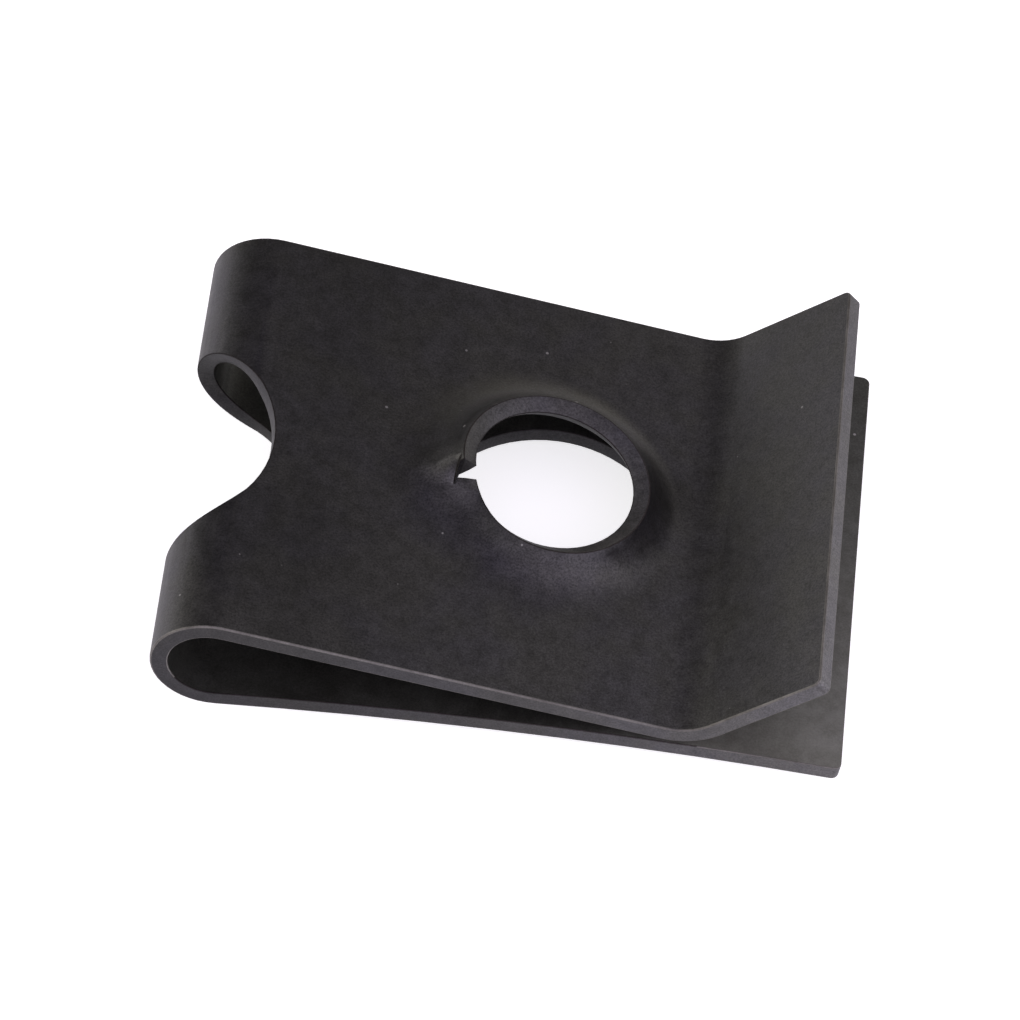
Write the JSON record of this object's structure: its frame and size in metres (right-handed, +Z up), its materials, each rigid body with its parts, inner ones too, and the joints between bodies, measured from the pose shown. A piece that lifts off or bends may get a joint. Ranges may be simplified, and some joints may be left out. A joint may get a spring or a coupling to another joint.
{
  "type": "u clip speed nut",
  "caption": "Folded spring-steel U clip that slides over a panel edge and takes a tapping screw in the pressed helical thread of its upper leaf.",
  "frame": {"origin": "centre of the footprint, on the surface that the lower leaf lies on", "axes": "+X from the fold towards the open end and its lead-in lip, +Y across the strip, +Z up from the lower leaf to the upper leaf"},
  "size_m": [0.0216, 0.016, 0.0048],
  "materials": {
    "black_spring_steel": "satin"
  },
  "bodies": {
    "root": {"u_clip": "black_spring_steel"}
  },
  "joints": []
}
